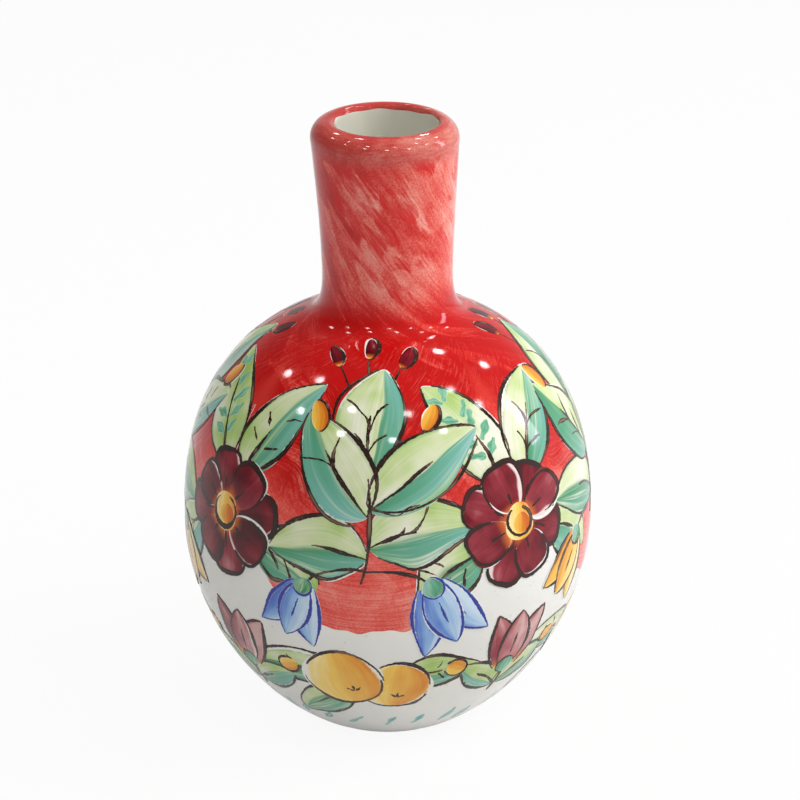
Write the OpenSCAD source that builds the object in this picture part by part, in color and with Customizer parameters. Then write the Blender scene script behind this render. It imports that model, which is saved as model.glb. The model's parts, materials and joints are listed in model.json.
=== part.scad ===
// Hand-thrown glazed earthenware bottle: a clay globe with a clay neck luted on its shoulder,
// a white glaze outside, a red glaze over the neck and lip, and a white glaze lining inside.
// Millimetres, +Z up, origin in the middle of the foot on the table.

/* [Body] */
// Diameter of the globe at its widest
belly_d = 100; // [85:1:120]
// Height of the widest level above the table
belly_z = 51; // [46:0.5:58]
// Height from the widest level to where the shoulder's curve would close
shoulder_h = 54.6; // [48:0.2:62]
// Fullness of the shoulder, where 2 is an ellipse and more is squarer
shoulder_fullness = 2.32; // [2:0.02:2.6]
// Fullness of the lower half, where less is more pointed
base_fullness = 1.87; // [1.7:0.01:2.2]
// Thickness of the clay wall of the globe
wall_t = 4.5; // [3:0.1:6]

/* [Foot] */
// Diameter at the table
foot_d = 42; // [36:1:50]
// Width of the ring that the bottle stands on
ring_w = 3.7; // [2:0.1:6]
// Depth of the recess turned inside the ring
recess_h = 1.4; // [0.5:0.1:2.5]
// Thickness of the clay floor above the recess
floor_t = 5; // [3:0.5:8]
// Bevel on the outer edge of the foot
foot_bevel = 0.5; // [0.2:0.1:1]
// Height of the band above the table that is wiped bare of glaze
bare_h = 1.6; // [1.2:0.1:4]

/* [Neck] */
// Outside diameter at the waist, where the neck is narrowest
neck_d = 31.4; // [29:0.2:34]
// How far the root sweeps out from the waist onto the shoulder
root_w = 4.7; // [3:0.1:7]
// Height from the joint on the shoulder to the waist
root_h = 9.8; // [7:0.2:14]
// Height from the waist to the widest level of the lip
flare_h = 34.1; // [20:0.5:50]
// How late the neck flares, where 1 is a straight taper
flare_power = 1.45; // [1:0.05:2.5]

/* [Lip] */
// Outside diameter of the lip
lip_d = 35.4; // [34.2:0.2:40]
// Height from the lip's widest level to its top
lip_h = 4.5; // [3:0.1:6]
// Diameter of the ring along which the lip is highest
crest_d = 27; // [26:0.2:29]
// Depth of the rounded inner edge of the lip
lip_in_h = 1.6; // [1:0.1:3]
// Bore of the mouth and neck, inside the lining
mouth_d = 24.5; // [22:0.1:25]

/* [Glaze] */
// Thickness of the white and red glazes outside
glaze_t = 0.4; // [0.2:0.05:0.8]
// Thickness of the white lining inside
lining_t = 0.4; // [0.2:0.05:0.8]
// How far the red glaze runs down the shoulder below the joint
red_drop = 14; // [6:0.5:30]

/* [Hidden] */

// Turn of an arc's parameter, in degrees, between two of its points
arc_step = 3;
// Points along the root, the flare and each rounding of the lip
root_steps = 10;
flare_steps = 8;
lip_steps = 8;
$fn = 96;

belly_r = belly_d / 2;
foot_r = foot_d / 2;
neck_r = neck_d / 2;
lip_r = lip_d / 2;
crest_r = crest_d / 2;
mouth_r = mouth_d / 2;

// The lower half's curve passes through the edge of the foot, and would close this far below the belly
base_h = belly_z / pow(1 - pow(foot_r / belly_r, base_fullness), 1 / base_fullness);

// Insets from the outer surface of the globe to each surface under it
clay_inset = glaze_t;
cavity_inset = clay_inset + wall_t;
lining_inset = cavity_inset + lining_t;

// Bore through the clay, which the lining covers
clay_bore_r = mouth_r + lining_t;

// Levels, each standing on the one below it
floor_z = recess_h + floor_t;
seat_z = shoulder_z(neck_r + root_w, 0);
red_z = seat_z - red_drop;
waist_z = seat_z + root_h;
lip_z = waist_z + flare_h;
top_z = lip_z + lip_h;
mouth_z = top_z - lip_in_h;

// The globe is two superellipse curves that meet at the belly. Each is given by an angle that
// grows from 0 at the belly, and an inset makes the same curve with shorter half-axes.
function shoulder_point(angle, inset) = [
    (belly_r - inset) * pow(cos(angle), 2 / shoulder_fullness),
    belly_z + (shoulder_h - inset) * pow(sin(angle), 2 / shoulder_fullness)
];
function base_point(angle, inset) = [
    (belly_r - inset) * pow(cos(angle), 2 / base_fullness),
    belly_z - (base_h - inset) * pow(sin(angle), 2 / base_fullness)
];
function shoulder_angle(z, inset) =
    asin(pow((z - belly_z) / (shoulder_h - inset), shoulder_fullness / 2));
function base_angle(z, inset) =
    asin(pow((belly_z - z) / (base_h - inset), base_fullness / 2));

// Height of the shoulder at a radius, and its fall per unit of radius at a level
function shoulder_z(r, inset) =
    belly_z + (shoulder_h - inset)
    * pow(1 - pow(r / (belly_r - inset), shoulder_fullness), 1 / shoulder_fullness);
function shoulder_fall(point, inset) =
    let (across = belly_r - inset, up = shoulder_h - inset, power = shoulder_fullness - 1)
    (pow(point.x / across, power) / across) / (pow((point.y - belly_z) / up, power) / up);

// Points of the globe's outline between two levels, upwards
function shoulder_arc(inset, low, high) =
    let (first = shoulder_angle(low, inset), last = shoulder_angle(high, inset))
    let (count = ceil((last - first) / arc_step))
    [for (i = [0:count]) shoulder_point(first + (last - first) * i / count, inset)];
function base_arc(inset, low, high) =
    let (first = base_angle(low, inset), last = base_angle(high, inset))
    let (count = ceil((first - last) / arc_step))
    [for (i = [0:count]) base_point(first + (last - first) * i / count, inset)];
function globe_arc(inset, low, high) =
    high <= belly_z ? base_arc(inset, low, high)
    : low >= belly_z ? shoulder_arc(inset, low, high)
    : concat(without_last(base_arc(inset, low, belly_z)), shoulder_arc(inset, belly_z, high));

// The neck's outline from the joint up over the lip and into the mouth
function root_curve(inset) =
    let (toe = shoulder_point(shoulder_angle(seat_z, inset), inset))
    let (waist = [neck_r - inset, waist_z])
    let (knee = [waist.x, seat_z + (toe.x - waist.x) * shoulder_fall(toe, inset)])
    [for (i = [0:root_steps]) bezier(toe, knee, waist, i / root_steps)];
function flare_curve(inset) = [
    for (i = [1:flare_steps])
        let (up = i / flare_steps)
        [neck_r + (lip_r - neck_r) * pow(up, flare_power) - inset, waist_z + flare_h * up]
];
function lip_curve(inset) = concat(
    [for (i = [1:lip_steps])
        let (angle = 90 * i / lip_steps)
        [crest_r + (lip_r - crest_r - inset) * cos(angle), lip_z + (lip_h - inset) * sin(angle)]],
    [for (i = [1:lip_steps])
        let (angle = 90 * i / lip_steps)
        [crest_r - (crest_r - mouth_r - inset) * sin(angle), mouth_z + (lip_in_h - inset) * cos(angle)]]
);
function neck_outline(inset) = concat(root_curve(inset), flare_curve(inset), lip_curve(inset));

function bezier(from, pull, to, t) = (1 - t) * (1 - t) * from + 2 * t * (1 - t) * pull + t * t * to;
function without_last(points) = [for (i = [0:len(points) - 2]) points[i]];
function reversed(points) = [for (i = [len(points) - 1:-1:0]) points[i]];

// The clay's outside, in the three bands that the glazes divide it into
function clay_outline() = concat(
    without_last(globe_arc(clay_inset, foot_bevel, bare_h)),
    without_last(globe_arc(clay_inset, bare_h, red_z)),
    globe_arc(clay_inset, red_z, seat_z)
);
// The clay's inside, from the edge of the floor up to the bore
function cavity_outline() = globe_arc(cavity_inset, floor_z, shoulder_z(clay_bore_r, cavity_inset));

// Thrown globe with its floor, turned foot and the bore through the shoulder
module body() {
    clay_foot = base_point(base_angle(foot_bevel, clay_inset), clay_inset);
    ring_r = clay_foot.x - foot_bevel;
    recess_r = ring_r - ring_w;
    color("peachpuff")
    rotate_extrude()
    polygon(concat(
        [[0, recess_h], [recess_r - recess_h, recess_h], [recess_r, 0], [ring_r, 0]],
        clay_outline(),
        [[clay_bore_r, seat_z]],
        reversed(cavity_outline()),
        [[0, floor_z]]
    ));
}

// Thrown neck with its lip, luted on the levelled top of the shoulder
module neck() {
    color("bisque")
    rotate_extrude()
    polygon(concat(
        neck_outline(clay_inset),
        [[clay_bore_r, mouth_z], [clay_bore_r, seat_z]]
    ));
}

// White glaze over the globe, from the bare band at the foot to the red
module white_glaze() {
    color("ivory")
    rotate_extrude()
    polygon(concat(
        globe_arc(0, bare_h, red_z),
        reversed(globe_arc(clay_inset, bare_h, red_z))
    ));
}

// Red glaze over the shoulder, neck and lip, ending where the bore begins
module red_glaze() {
    color("firebrick")
    rotate_extrude()
    polygon(concat(
        without_last(globe_arc(0, red_z, seat_z)),
        neck_outline(0),
        reversed(neck_outline(clay_inset)),
        reversed(without_last(globe_arc(clay_inset, red_z, seat_z)))
    ));
}

// White glaze lining of the floor, the wall and the bore
module inner_glaze() {
    color("white")
    rotate_extrude()
    polygon(concat(
        [[0, floor_z]],
        cavity_outline(),
        [[clay_bore_r, mouth_z], [mouth_r, mouth_z]],
        reversed(globe_arc(lining_inset, floor_z + lining_t, shoulder_z(mouth_r, lining_inset))),
        [[0, floor_z + lining_t]]
    ));
}

body();
neck();
white_glaze();
red_glaze();
inner_glaze();
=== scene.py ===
"""Looks of a hand-painted, glazed earthenware bottle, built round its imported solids.

The turned form is repeated from the solids' sizes as smooth thrown meshes. The painting is brushwork: each
stroke is a thin patch laid on the glaze, and all strokes of one pigment make one piece with its own material.
Lengths are in millimetres up to the point where a mesh is made.
"""

import json
import math

import bmesh
import bpy
import numpy as np
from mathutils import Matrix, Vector


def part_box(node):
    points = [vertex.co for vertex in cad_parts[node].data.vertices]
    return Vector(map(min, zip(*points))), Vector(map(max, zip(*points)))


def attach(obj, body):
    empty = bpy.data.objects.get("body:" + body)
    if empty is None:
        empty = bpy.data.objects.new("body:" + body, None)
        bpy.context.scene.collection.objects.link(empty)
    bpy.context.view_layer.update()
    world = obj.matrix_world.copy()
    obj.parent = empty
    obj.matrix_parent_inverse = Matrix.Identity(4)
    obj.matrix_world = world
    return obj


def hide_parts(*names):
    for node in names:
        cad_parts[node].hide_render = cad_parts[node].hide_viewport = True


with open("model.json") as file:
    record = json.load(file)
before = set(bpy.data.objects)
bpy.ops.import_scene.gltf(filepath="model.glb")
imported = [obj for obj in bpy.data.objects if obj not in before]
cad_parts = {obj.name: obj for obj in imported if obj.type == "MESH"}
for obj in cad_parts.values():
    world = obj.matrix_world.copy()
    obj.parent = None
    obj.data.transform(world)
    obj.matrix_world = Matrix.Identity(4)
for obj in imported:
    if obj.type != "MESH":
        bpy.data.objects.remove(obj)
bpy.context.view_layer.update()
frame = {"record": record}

MM = 0.001
BODY = "root"
rng = np.random.default_rng(7)


def top_of(node):
    """The highest values of a solid's box."""
    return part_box(node)[1] / MM


def foot_of(node):
    """The lowest values of a solid's box."""
    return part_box(node)[0] / MM


# Sizes of the turned form, read from the solids where their boxes give them
BELLY_R = top_of("white_glaze").x
BARE_Z = foot_of("white_glaze").z
WHITE_TOP_Z = top_of("white_glaze").z
SEAT_Z = foot_of("neck").z
TOP_Z = top_of("red_glaze").z
MOUTH_Z = top_of("inner_glaze").z
FLOOR_Z = foot_of("inner_glaze").z
MOUTH = next(mount for mount in frame["record"]["mounts"] if mount["name"] == "mouth")
MOUTH_R = MOUTH["dims"]["r_mm"]

# The rest of the turned form, as the solids have it
BELLY_Z = 51.0
SHOULDER_H = 54.6
SHOULDER_FULLNESS = 2.32
BASE_FULLNESS = 1.87
FOOT_R = 21.0
WALL_T = 4.5
GLAZE_T = 0.4
RECESS_H = 1.4
RING_W = 3.7
FOOT_ROUND = 0.6
ROOT_H = 9.8
NECK_R = 15.7
LIP_R = 17.7
LIP_H = 4.5
CREST_R = 13.5
FLARE_POWER = 1.45
BASE_H = BELLY_Z / (1 - (FOOT_R / BELLY_R) ** BASE_FULLNESS) ** (1 / BASE_FULLNESS)
WAIST_Z = SEAT_Z + ROOT_H
LIP_Z = TOP_Z - LIP_H
# Lobes that the red ground hangs in, and the place of the front one, in degrees to the right
LOBES = 4
LOBE_TURN = 360 / LOBES
FRONT_LOBE = -6.0
# Inset of the thrown surface from the solids', so that the paint on it stays inside their box
PAINT_ROOM = 0.21
NECK_ROOM = 0.04
CREST_ROOM = 0.3
# How far the neck leans to the left at its top, as thrown by hand, and the share of it in the bore
LEAN = 0.8
BORE_LEAN = 0.15
LEAN_POWER = 2.1
# Nearer to the axis than this, the thrower's unevenness fades out
EVEN_R = 10.0


# Outlines of the turned form

def globe_turn(z, inset):
    """The globe curve's parameter at a level, 0 at the belly and negative below it."""
    if z < BELLY_Z:
        return -math.asin(((BELLY_Z - z) / (BASE_H - inset)) ** (BASE_FULLNESS / 2))
    return math.asin(((z - BELLY_Z) / (SHOULDER_H - inset)) ** (SHOULDER_FULLNESS / 2))


def globe_points(inset, low, high, count=400):
    """Points (r, z) of the globe between two levels, upwards."""
    turn = np.linspace(globe_turn(low, inset), globe_turn(high, inset), count)
    above = turn >= 0
    fullness = np.where(above, SHOULDER_FULLNESS, BASE_FULLNESS)
    height = np.where(above, SHOULDER_H, -BASE_H) - np.where(above, inset, -inset)
    r = (BELLY_R - inset) * np.cos(turn) ** (2 / fullness)
    z = BELLY_Z + height * np.abs(np.sin(turn)) ** (2 / fullness)
    return np.stack([r, z], axis=1)


def evened(points, step):
    """The same line with points a constant distance apart."""
    points = np.asarray(points, float)
    along = np.concatenate([[0], np.cumsum(np.linalg.norm(np.diff(points, axis=0), axis=1))])
    places = np.linspace(0, along[-1], max(2, int(round(along[-1] / step)) + 1))
    return np.stack([np.interp(places, along, axis) for axis in points.T], axis=1)


def softened(points, reach):
    """A line smoothed over a reach, counted in points, with its ends kept."""
    weights = np.hanning(2 * reach + 1)
    weights /= weights.sum()
    before = 2 * points[0] - points[reach:0:-1]
    after = 2 * points[-1] - points[-2:-reach - 2:-1]
    padded = np.concatenate([before, points, after])
    return np.stack([np.convolve(axis, weights, "valid") for axis in padded.T], axis=1)


def eased(count):
    """Shares from 0 to 1 that lie closer together towards both ends."""
    return (1 - np.cos(np.linspace(0, math.pi, count))) / 2


def bezier(start, pull, end, shares):
    """A curve from start to end, drawn towards a third point. Its shares are given, or their number is."""
    t = (np.linspace(0, 1, shares) if isinstance(shares, int) else shares)[:, None]
    start, pull, end = (np.asarray(point, float) for point in (start, pull, end))
    return (1 - t) ** 2 * start + 2 * t * (1 - t) * pull + t ** 2 * end


def quarter(middle, half_r, half_z, first, last, count=24):
    """An arc of an ellipse about a point (r, z), between two angles in degrees."""
    angle = np.radians(np.linspace(first, last, count))
    return np.stack([middle[0] + half_r * np.cos(angle), middle[1] + half_z * np.sin(angle)], axis=1)


def lip_inside(inset):
    """The rounded inner edge of the lip, from its crest down to the bore."""
    half_r = CREST_R - MOUTH_R - inset
    half_z = TOP_Z - CREST_ROOM - MOUTH_Z - inset
    return quarter((CREST_R, MOUTH_Z), half_r, half_z, 90, 180)


def neck_points(inset, globe):
    """The neck from the globe's last point over the lip's crest."""
    toe, slope = globe[-1], (globe[-1] - globe[-4])
    waist = np.array([NECK_R - inset, WAIST_Z])
    knee = [waist[0], toe[1] + (toe[0] - waist[0]) * slope[1] / -slope[0]]
    up = np.linspace(0, 1, 60)
    flare_r = waist[0] + (LIP_R - NECK_R) * up ** FLARE_POWER
    flare = np.stack([flare_r, WAIST_Z + (LIP_Z - WAIST_Z) * up], axis=1)
    lip = quarter((CREST_R, LIP_Z), LIP_R - CREST_R - inset, LIP_H - CREST_ROOM - inset, 0, 90)
    return np.concatenate([bezier(toe, knee, waist, 40)[1:], flare[1:], lip[1:]])


class Outline:
    """A turned outline at a depth under the glaze's surface, read by the distance along it."""

    STEP = 0.2
    GLOBE_REACH = 25
    NECK_REACH = 6

    def __init__(self, depth, bore=0.0):
        globe = evened(globe_points(PAINT_ROOM + depth, BARE_Z, SEAT_Z), self.STEP)
        globe = softened(globe, self.GLOBE_REACH)
        inset = NECK_ROOM + depth
        line = [globe, neck_points(inset, globe), lip_inside(inset)[1:]]
        if bore:
            line.append([[MOUTH_R + inset, MOUTH_Z - bore]])
        self.points = softened(evened(np.concatenate(line), self.STEP), self.NECK_REACH)
        self.along = np.arange(len(self.points)) * self.STEP
        tangent = np.gradient(self.points, axis=0)
        tangent /= np.linalg.norm(tangent, axis=1)[:, None]
        self.out = np.stack([tangent[:, 1], -tangent[:, 0]], axis=1)
        self.crest = self.along[np.argmax(self.points[:, 1])]

    def at(self, s):
        return [np.interp(s, self.along, axis) for axis in self.points.T]

    def outward(self, s):
        return [np.interp(s, self.along, axis) for axis in self.out.T]

    def level(self, z):
        """The distance along the outline at which its outside reaches a height."""
        outside = self.along <= self.crest
        return np.interp(z, self.points[outside, 1], self.along[outside])


skin = Outline(0.0, bore=14.0)
under = Outline(GLAZE_T)


def thrown(phi, z):
    """How far the thrower's hand left the wall from true, which is never outwards."""
    oval = 0.03 * np.cos(2 * phi + 0.7) + 0.02 * np.cos(3 * phi + z / 40)
    rings = 0.008 * np.sin(z / 1.15 + np.cos(phi)) + 0.012 * np.sin(z / 3.1 + 2 * np.cos(phi + 1))
    return oval + rings - 0.07


def placed(phi, r, z):
    """Points in metres from cylinder coordinates, where phi 0 faces the camera and grows to the right."""
    bent = np.clip((z - SEAT_Z) / (TOP_Z - SEAT_Z), 0, 1) ** LEAN_POWER
    lean = LEAN * bent * np.interp(r, [MOUTH_R, CREST_R + 1], [BORE_LEAN, 1])
    wide = r + thrown(phi, z) * np.clip(r / EVEN_R, 0, 1)
    return np.stack([wide * np.sin(phi) - lean, -wide * np.cos(phi), z + 0 * phi], axis=-1) * MM


def on_skin(phi, s, lift):
    r, z = skin.at(s)
    out_r, out_z = skin.outward(s)
    return placed(phi, r + out_r * lift, z + out_z * lift)


# Meshes

# Edges that turn by more than this stay sharp
SHARP_ANGLE = math.radians(40)


def linked(name, data):
    """A new object in the scene."""
    made = bpy.data.objects.new(name, data)
    bpy.context.scene.collection.objects.link(made)
    return made


def mesh_object(name, points, faces, material, body=BODY):
    """A smooth piece on a body, with its faces turned outwards."""
    mesh = bpy.data.meshes.new(name)
    mesh.from_pydata(points.tolist(), [], faces)
    work = bmesh.new()
    work.from_mesh(mesh)
    bmesh.ops.recalc_face_normals(work, faces=work.faces)
    work.to_mesh(mesh)
    work.free()
    mesh.polygons.foreach_set("use_smooth", [True] * len(mesh.polygons))
    mesh.set_sharp_from_angle(angle=SHARP_ANGLE)
    mesh.materials.append(material)
    made = linked(name, mesh)
    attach(made, body)
    return made


def turned(name, section, material, segments=320, closed=True):
    """A piece turned about the axis. An open section starts and ends on the axis."""
    section = np.asarray(section, float)
    phi = np.linspace(0, 2 * math.pi, segments, endpoint=False)
    rings = section if closed else section[1:-1]
    points = placed(phi[None, :], rings[:, :1], rings[:, 1:]).reshape(-1, 3)
    index = np.arange(len(points)).reshape(len(rings), segments)
    if closed:
        index = np.concatenate([index, index[:1]])
    paler_right_paint_and_light = np.roll(index, -1, axis=1)
    faces = np.stack([index[:-1], paler_right_paint_and_light[:-1], paler_right_paint_and_light[1:], index[1:]], axis=-1).reshape(-1, 4).tolist()
    if not closed:
        for pole, ring in ((section[0], 0), (section[-1], -1)):
            faces += [[len(points), a, b] for a, b in zip(index[ring], paler_right_paint_and_light[ring])]
            points = np.concatenate([points, [[0, 0, pole[1] * MM]]])
    return mesh_object(name, points, faces, material)


def slab_faces(rows, columns, wrapped=False):
    """Faces of a closed slab, whose upper points come first, row by row, and then its lower ones."""
    upper = np.arange(rows * columns).reshape(rows, columns)
    if wrapped:
        upper = np.concatenate([upper, upper[:, :1]], axis=1)
    lower = upper + rows * columns
    rims = [(upper[0], lower[0]), (upper[-1], lower[-1])]
    if not wrapped:
        rims += [(upper[:, 0], lower[:, 0]), (upper[:, -1], lower[:, -1])]
    faces = []
    for side in (upper, lower):
        corners = [side[:-1, :-1], side[:-1, 1:], side[1:, 1:], side[1:, :-1]]
        faces.append(np.stack(corners, -1).reshape(-1, 4))
    faces += [np.stack([a[:-1], a[1:], b[1:], b[:-1]], -1) for a, b in rims]
    return np.concatenate(faces)


def store_values(made, name, values):
    """Keeps four values with each point of a mesh, for its material to read."""
    store = made.data.attributes.new(name, "FLOAT_COLOR", "POINT")
    store.data.foreach_set("color", values.astype(np.float32).ravel())


class Pigment:
    """All strokes of one colour. Each point knows its place along and across its stroke, and the stroke's own
    seed and tone, which the material reads from the attribute named stroke."""

    def __init__(self):
        self.points, self.faces, self.strokes, self.count = [], [], [], 0

    def lay(self, phi, s, lift, tone=0.5, sink=0.05):
        """Lays a patch over a grid of places on the skin, rows along the stroke and columns across it."""
        rows, columns = phi.shape
        along, across = np.meshgrid(np.linspace(0, 1, rows), np.linspace(0, 1, columns), indexing="ij")
        seed = np.full_like(along, rng.random())
        stroke = np.stack([along, across, seed, np.broadcast_to(tone, along.shape)], -1).reshape(-1, 4)
        upper, lower = on_skin(phi, s, lift), on_skin(phi, s, -sink)
        self.points += [upper.reshape(-1, 3), lower.reshape(-1, 3)]
        self.strokes += [stroke, stroke]
        self.faces.append(slab_faces(rows, columns) + self.count)
        self.count += 2 * rows * columns

    def piece(self, name, material):
        made = mesh_object(name, np.concatenate(self.points), np.concatenate(self.faces).tolist(), material)
        store_values(made, "stroke", np.concatenate(self.strokes))
        return made


# Materials

def srgb(*levels):
    """A colour given as screen levels from 0 to 255."""
    shares = [level / 255 for level in levels]
    return tuple(v / 12.92 if v < 0.04045 else ((v + 0.055) / 1.055) ** 2.4 for v in shares) + (1.0,)


class Nodes:
    """A node tree, with the nodes used here as short calls."""

    def __init__(self, tree):
        self.tree = tree
        self.tree.nodes.clear()

    def node(self, kind, inputs=(), **settings):
        made = self.tree.nodes.new("ShaderNode" + kind)
        for key, value in settings.items():
            setattr(made, key, value)
        for key, value in dict(inputs).items():
            if isinstance(value, bpy.types.NodeSocket):
                self.tree.links.new(value, made.inputs[key])
            else:
                made.inputs[key].default_value = value
        return made

    def math(self, operation, a, b=0.0):
        return self.node("Math", {0: a, 1: b}, operation=operation).outputs[0]

    def product(self, a, b):
        return self.math("MULTIPLY", a, b)

    def less(self, a, b):
        return self.math("SUBTRACT", a, b)

    def larger(self, a, b):
        return self.math("MAXIMUM", a, b)

    def sum(self, *terms):
        """The sum of values, each with its weight."""
        total = 0.0
        for value, weight in terms:
            total = self.math("ADD", total, self.product(value, weight))
        return total

    def noise(self, where, scale, detail=3.0, distortion=0.0):
        inputs = {"Vector": where, "Scale": scale, "Detail": detail, "Distortion": distortion}
        return self.node("TexNoise", inputs).outputs[0]

    def shaken(self, where, amount):
        """Places moved about by a noise, so that no shape on them stays even."""
        shake = self.node("TexNoise", {"Vector": where, "Scale": 1.3, "Detail": 2.0})
        inputs = {0: shake.outputs["Color"], 1: (amount, amount, amount), 2: where}
        return self.node("VectorMath", inputs, operation="MULTIPLY_ADD").outputs[0]

    def daubs(self, where, softness):
        """Two random values for each of many separate dabs, which run into each other over a softness."""
        inputs = {"Vector": where, "Scale": 1.0, "Smoothness": softness}
        cells = self.node("TexVoronoi", inputs, feature="SMOOTH_F1").outputs["Color"]
        parts = self.node("SeparateColor", {0: cells}).outputs
        return parts[0], parts[1]

    def between(self, value, low, high, to_low=0.0, to_high=1.0):
        """A smooth step of a value from one range to another."""
        inputs = {"Value": value, "From Min": low, "From Max": high, "To Min": to_low, "To Max": to_high}
        return self.node("MapRange", inputs, interpolation_type="SMOOTHSTEP").outputs[0]

    def blend(self, share, a, b):
        return self.node("Mix", {0: share, 2: a, 3: b}, data_type="FLOAT").outputs[0]

    def mix(self, share, a, b):
        return self.node("Mix", {0: share, 6: a, 7: b}, data_type="RGBA").outputs[2]

    def ramp(self, value, *stops, top=1.0):
        """A colour ramp over values from 0 to its top. A stop is a value and its colour's screen levels."""
        share = value if top == 1.0 else self.math("DIVIDE", value, top)
        made = self.node("ValToRGB", {0: share})
        elements = made.color_ramp.elements
        while len(elements) < len(stops):
            elements.new(0.5)
        for element, (where, *levels) in zip(elements, stops):
            element.position = where / top
            element.color = srgb(*levels)
        return made.outputs[0]

    def parts(self, vector):
        return self.node("SeparateXYZ", {0: vector}).outputs

    def vector(self, x, y, z):
        return self.node("CombineXYZ", {0: x, 1: y, 2: z}).outputs[0]

    def stretched(self, *parts):
        """A vector of three values, each times its factor."""
        return self.vector(*(self.product(value, factor) for value, factor in parts))

    def stored(self, name):
        """The four values that each point of the mesh holds under a name."""
        store = self.node("Attribute", attribute_name=name)
        parts = self.node("SeparateColor", {0: store.outputs["Color"]})
        return [*parts.outputs, store.outputs["Alpha"]]

    def seen_by(self, *kinds):
        """1 for rays of any of these kinds."""
        rays = self.node("LightPath").outputs
        seen = rays[kinds[0]]
        for kind in kinds[1:]:
            seen = self.larger(seen, rays[kind])
        return seen


class Material(Nodes):
    """A material that reads the place on the object, and on painted pieces the place in the stroke."""

    # How far apart two strokes lie in the noise that their hairs come from
    SEED_SPREAD = 97.0

    def __init__(self, name, painted=False):
        self.made = bpy.data.materials.new(name)
        self.made.use_nodes = True
        super().__init__(self.made.node_tree)
        self.place = self.node("TexCoord").outputs["Object"]
        if painted:
            self.along, self.across, self.seed, self.tone = self.stored("stroke")
            # How far in from the stroke's nearer long edge, as a share of its width
            self.side = self.math("MINIMUM", self.across, self.less(1.0, self.across))

    def mottle(self, scale, detail=3.0, distortion=0.0):
        """A noise over the whole object, with about this many waves to the metre."""
        return self.noise(self.place, scale, detail, distortion)

    def bristles(self, lengthwise, crosswise, detail=3.0):
        """Streaks that run along the stroke, as the brush's hairs leave them."""
        where = self.stretched(
            (self.along, lengthwise), (self.across, crosswise), (self.seed, self.SEED_SPREAD),
        )
        return self.noise(where, 1.0, detail)

    def inside(self, reach, ragged=0.06):
        """0 at the stroke's long edges and 1 inside them, with a ragged line between."""
        rough = self.mottle(900.0)
        return self.between(self.sum((self.side, 1.0), (rough, 2 * ragged)), ragged, ragged + reach)

    def glazed(self, colour, relief=None):
        """A glossy glaze over the colour, with slight waves and a varying polish."""
        waves = self.mottle(130.0, 1.0)
        height = waves if relief is None else self.math("ADD", waves, relief)
        bump = self.node("Bump", {"Height": height, "Strength": 0.5, "Distance": 0.00005})
        polish = self.between(self.mottle(420.0), 0.3, 0.7, 0.05, 0.1)
        inputs = {"Base Color": colour, "Roughness": polish, "Normal": bump.outputs[0]}
        inputs["Specular IOR Level"] = 0.3
        return self.finished(self.node("BsdfPrincipled", inputs))

    def finished(self, shader):
        self.node("OutputMaterial", {"Surface": shader.outputs[0]})
        return self.made


WHITE = srgb(232, 231, 224)


def white_glaze():
    glaze = Material("white_glaze")
    colour = glaze.ramp(glaze.mottle(35.0, 2.0), (0.3, 226, 226, 220), (0.7, 236, 234, 226))
    pinhole = glaze.between(glaze.mottle(1500.0, 0.0), 0.8, 0.86, 0.0, 0.6)
    return glaze.glazed(glaze.mix(pinhole, colour, srgb(196, 184, 168)))


def lining_glaze():
    glaze = Material("lining_glaze")
    # A slightly darker, warmer white than the outside glaze: partly its own glaze, partly painted shade for
    # the inside of the mouth
    return glaze.glazed(glaze.ramp(glaze.mottle(60.0, 2.0), (0.3, 204, 204, 189), (0.7, 220, 218, 204)))


def clay():
    bare = Material("clay")
    grain = bare.mottle(1400.0, 4.0)
    body = bare.ramp(bare.mottle(90.0, 2.0), (0.3, 206, 158, 132), (0.7, 222, 180, 152))
    speck = bare.between(grain, 0.62, 0.7)
    bump = bare.node("Bump", {"Height": grain, "Strength": 0.6, "Distance": 0.0001})
    inputs = {"Base Color": bare.mix(speck, body, srgb(168, 112, 88)), "Normal": bump.outputs[0]}
    inputs["Roughness"] = bare.between(grain, 0.3, 0.7, 0.8, 0.95)
    return bare.finished(bare.node("BsdfPrincipled", inputs))


# Levels in metres between which the brushing of the red changes, from none of a manner to all of it
NECK_FROM = (0.1, 0.113)
LIP_FROM = (0.1425, 0.147)
ROOT_FROM, ROOT_TO = (0.1, 0.108), (0.126, 0.116)
SHOULDER_FROM, SHOULDER_TO = (0.066, 0.084), (0.115, 0.105)
# The same for the distance from the axis in the mouth, and for the rise above the ground's edge
MOUTH_WITHIN = (0.0152, 0.0138)
EDGE_WITHIN = (0.032, 0.016)
# Slants of the strokes: the globe's dabs, its two ways of hair lines, the neck's dabs and its hair lines
GLOBE_SLANT, ONE_SLANT, OTHER_SLANT = 1.0, 1.7, -0.8
NECK_SLANT, NECK_HAIR_SLANT = 0.62, 0.7


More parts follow.
